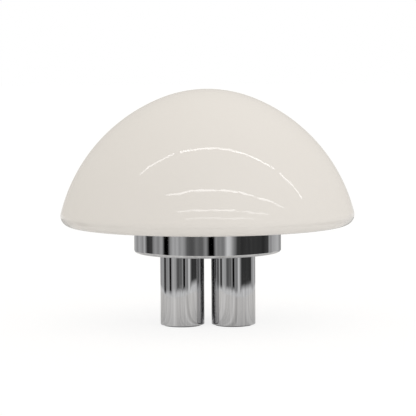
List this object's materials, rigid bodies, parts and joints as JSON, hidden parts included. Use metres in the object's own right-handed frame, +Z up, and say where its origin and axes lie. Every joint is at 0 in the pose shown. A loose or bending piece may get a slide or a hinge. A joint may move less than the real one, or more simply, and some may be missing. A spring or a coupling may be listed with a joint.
{
  "type": "mushroom table lamp",
  "caption": "Mushroom table lamp: a domed opal glass shade on a chromed drum and clustered chromed tube legs, with screw bulbs inside.",
  "frame": {"origin": "on the table under the middle of the lamp", "axes": "+Z up; -Y is the front, so the picture looks along +Y with +X to the right"},
  "size_m": [0.3999, 0.4, 0.3179],
  "materials": {
    "opal_glass": "glossy opal, warm white",
    "chrome": "mirror-polished plate",
    "white_enamel": "satin stove enamel",
    "zinc_steel": "zinc plated",
    "brass": "plain",
    "bulb_cap_metal": "rolled thread",
    "bulb_glass": "opal coated",
    "bulb_insulator": "black insulator",
    "holder_plastic": "moulded, ivory",
    "plug_plastic": "moulded, black",
    "bush_plastic": "moulded, black",
    "block_plastic": "natural white",
    "lead_sheath": "white PVC",
    "black_rubber": "plain",
    "seat_felt": "pressed felt, off-white",
    "foot_felt": "pressed felt, dark grey"
  },
  "bodies": {
    "base": {"front_left_tube": "chrome", "front_left_foot_felt": "foot_felt", "front_left_foot_plug": "plug_plastic", "front_left_head_plug": "plug_plastic", "front_right_tube": "chrome", "front_right_foot_felt": "foot_felt", "front_right_foot_plug": "plug_plastic", "front_right_head_plug": "plug_plastic", "rear_right_tube": "chrome", "rear_right_foot_felt": "foot_felt", "rear_right_foot_plug": "plug_plastic", "rear_right_head_plug": "plug_plastic", "rear_left_tube": "chrome", "rear_left_foot_felt": "foot_felt", "rear_left_foot_plug": "plug_plastic", "rear_left_head_plug": "plug_plastic", "tie_rods": "zinc_steel", "foot_nuts": "zinc_steel", "floor_washers": "zinc_steel", "floor_nuts": "zinc_steel", "tray_support_nuts": "zinc_steel", "nipple_nuts": "zinc_steel", "holder_nipples": "zinc_steel", "block_fixings": "zinc_steel", "tray_cap_nuts": "chrome", "drum": "chrome", "seat_ring": "seat_felt", "lamp_tray": "white_enamel", "floor_grommet": "black_rubber", "cord_bush": "bush_plastic", "holder_contacts": "brass", "terminal_block": "block_plastic", "terminal_screws": "brass", "holder_leads": "lead_sheath", "right_holder_base": "holder_plastic", "right_holder_sleeve": "holder_plastic", "right_holder_shell": "brass", "rear_holder_base": "holder_plastic", "rear_holder_sleeve": "holder_plastic", "rear_holder_shell": "brass", "left_holder_base": "holder_plastic", "left_holder_sleeve": "holder_plastic", "left_holder_shell": "brass", "front_holder_base": "holder_plastic", "front_holder_sleeve": "holder_plastic", "front_holder_shell": "brass"},
    "shade": {"shade": "opal_glass"},
    "right_bulb_end": {"right_bulb_tip": "bulb_insulator"},
    "right_bulb": {"right_bulb_cap": "bulb_cap_metal", "right_bulb_globe": "bulb_glass"},
    "rear_bulb_end": {"rear_bulb_tip": "bulb_insulator"},
    "rear_bulb": {"rear_bulb_cap": "bulb_cap_metal", "rear_bulb_globe": "bulb_glass"},
    "left_bulb_end": {"left_bulb_tip": "bulb_insulator"},
    "left_bulb": {"left_bulb_cap": "bulb_cap_metal", "left_bulb_globe": "bulb_glass"},
    "front_bulb_end": {"front_bulb_tip": "bulb_insulator"},
    "front_bulb": {"front_bulb_cap": "bulb_cap_metal", "front_bulb_globe": "bulb_glass"}
  },
  "joints": [
    {"name": "shade_lift", "type": "slide", "parent": "base", "child": "shade", "axis": [0, 0, 1], "range_m": [0, 0.12]},
    {"name": "right_bulb_travel", "type": "slide", "parent": "base", "child": "right_bulb_end", "axis": [0, 0, 1], "range_m": [0, 0.0113]},
    {"name": "right_bulb_turn", "type": "hinge", "parent": "right_bulb_end", "child": "right_bulb", "pos_m": [0.046, 0, 0.19], "axis": [0, 0, 1], "range_deg": [0, 1440]},
    {"name": "rear_bulb_travel", "type": "slide", "parent": "base", "child": "rear_bulb_end", "axis": [0, 0, 1], "range_m": [0, 0.0113]},
    {"name": "rear_bulb_turn", "type": "hinge", "parent": "rear_bulb_end", "child": "rear_bulb", "pos_m": [0, 0.046, 0.19], "axis": [0, 0, 1], "range_deg": [0, 1440]},
    {"name": "left_bulb_travel", "type": "slide", "parent": "base", "child": "left_bulb_end", "axis": [0, 0, 1], "range_m": [0, 0.0113]},
    {"name": "left_bulb_turn", "type": "hinge", "parent": "left_bulb_end", "child": "left_bulb", "pos_m": [-0.046, 0, 0.19], "axis": [0, 0, 1], "range_deg": [0, 1440]},
    {"name": "front_bulb_travel", "type": "slide", "parent": "base", "child": "front_bulb_end", "axis": [0, 0, 1], "range_m": [0, 0.0113]},
    {"name": "front_bulb_turn", "type": "hinge", "parent": "front_bulb_end", "child": "front_bulb", "pos_m": [0, -0.046, 0.19], "axis": [0, 0, 1], "range_deg": [0, 1440]}
  ],
  "couplings": [
    {"joint": "right_bulb_travel", "follows": "right_bulb_turn", "m_per_rad": 0.00044917},
    {"joint": "rear_bulb_travel", "follows": "rear_bulb_turn", "m_per_rad": 0.00044917},
    {"joint": "left_bulb_travel", "follows": "left_bulb_turn", "m_per_rad": 0.00044917},
    {"joint": "front_bulb_travel", "follows": "front_bulb_turn", "m_per_rad": 0.00044917}
  ]
}
